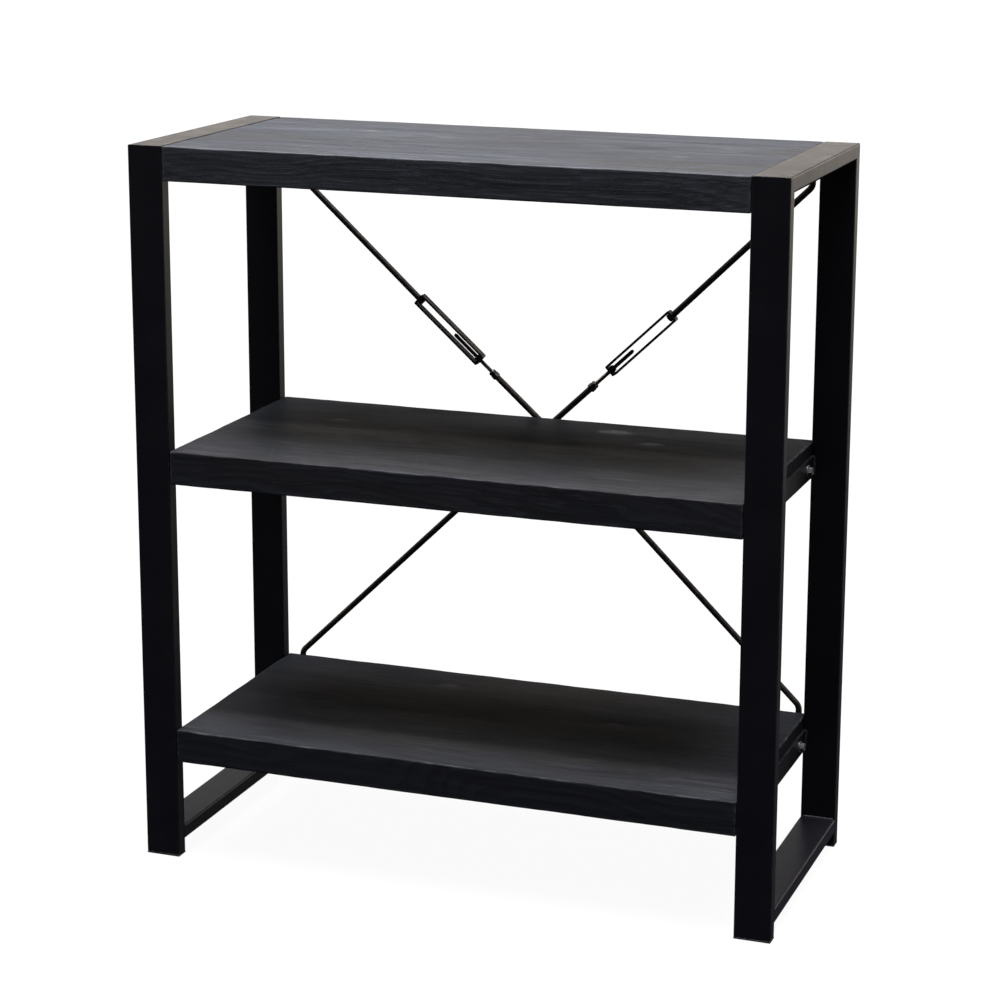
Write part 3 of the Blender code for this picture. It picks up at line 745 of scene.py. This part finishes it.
def weld_bead(verts, faces, start, end, first, second, seed):
    """Adds one fillet weld from start to end, in the corner between the two faces that run off
    along first and second."""
    run = end - start
    length = run.length
    ahead = run.normalized()
    rows = max(4, int(length / WELD_RIPPLE * WELD_ROWS))
    base = len(verts)
    for row in range(rows + 1):
        at = length * row / rows
        ripple = abs(math.sin(math.pi * at / WELD_RIPPLE))
        chance = noise.noise(Vector((at * 130, seed * 3.1, 0.5)))
        ends = min(1.0, 0.35 + at / 0.002, 0.35 + (length - at) / 0.002)
        leg = WELD_LEG * (0.86 + 0.10 * ripple + 0.16 * chance) * ends
        sunk = first * -0.0004 + second * -0.0004
        verts.append(start + ahead * at + sunk)
        for point in range(WELD_POINTS):
            angle = math.pi / 2 * point / (WELD_POINTS - 1)
            share_a, share_b = math.cos(angle) ** 1.4, math.sin(angle) ** 1.4
            bow = math.sin(2 * angle) * 0.0009 * ripple
            verts.append(start + ahead * (at + bow) + first * leg * share_a + second * leg * share_b)
    ring = WELD_POINTS + 1
    for row in range(rows):
        here, there = base + row * ring, base + (row + 1) * ring
        for point in range(ring):
            after = (point + 1) % ring
            faces.append((here + point, here + after, there + after, there + point))
    faces.append(tuple(base + point for point in reversed(range(ring))))
    faces.append(tuple(base + rows * ring + point for point in range(ring)))


def frame_welds(side, sign, material):
    """The welds inside one end frame: top corners, bottom rail ends, and the ends of the bars."""
    verts, faces = [], []
    inset = 0.003
    top_low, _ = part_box(f"{side}_top_rail")
    rail_low, rail_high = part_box(f"{side}_bottom_rail")
    back, ahead = Vector((0, -1, 0)), Vector((0, 1, 0))
    up, down = Vector((0, 0, 1)), Vector((0, 0, -1))
    outward = Vector((sign, 0, 0))
    seed = 1.0 + sign
    for end, inner in (("front", ahead), ("rear", back)):
        low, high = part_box(f"{side}_{end}_upright")
        y = high.y if end == "front" else low.y
        left, right = low.x + inset, high.x - inset
        for z, away in ((top_low.z, down), (rail_high.z, up), (rail_low.z, down)):
            seed += 1
            start, stop = Vector((left, y, z)), Vector((right, y, z))
            weld_bead(verts, faces, start, stop, inner, away, seed)
        for board in BOARDS:
            seed += 1
            bar_low, bar_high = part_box(f"{side}_{board}_bar")
            x = bar_high.x if sign > 0 else bar_low.x
            start = Vector((x, y, bar_low.z + inset / 2))
            stop = Vector((x, y, bar_high.z - inset / 2))
            weld_bead(verts, faces, start, stop, inner, outward, seed)
    name = f"{side}_frame_welds"
    make_piece(name, verts, faces, material, "frame", (), 60)


def soften(node, width, angle):
    bevel = nodes[node].modifiers.new("rounded_arris", "BEVEL")
    bevel.width = width
    bevel.segments = 2
    bevel.limit_method = "ANGLE"
    bevel.angle_limit = math.radians(angle)
    bevel.harden_normals = True


# ---------------------------------------------------------------- build

place_camera()
lay_floor()
light_the_room()
add_light("key", (-1.6, -2.2, 3.0), (0, 0, 0.5), (1.6, 1.2), 10, (0.55, 0.75, 1.0))
bpy.context.scene.view_settings.view_transform = "Standard"

looks = {
    "frame_coat": powder_coat(),
    "rod_steel": blackened_steel(),
    "zinc_fastener": dull_zinc(),
    "foot_plastic": moulded_plastic(),
}
for name, node in nodes.items():
    for place in node.material_slots:
        kind = place.material.name.split(".")[0]
        if kind in looks:
            place.material = looks[kind]

for board in BOARDS:
    make_board(board, shelf_wood(board))
all_screws(looks["zinc_fastener"])
for side, sign in (("left", -1), ("right", 1)):
    threaded_stud(side, looks["rod_steel"])
    chamfered_nut(side, looks["rod_steel"])
    frame_welds(side, sign, looks["frame_coat"])
    soften(f"{side}_turnbuckle", 0.0005, 40)
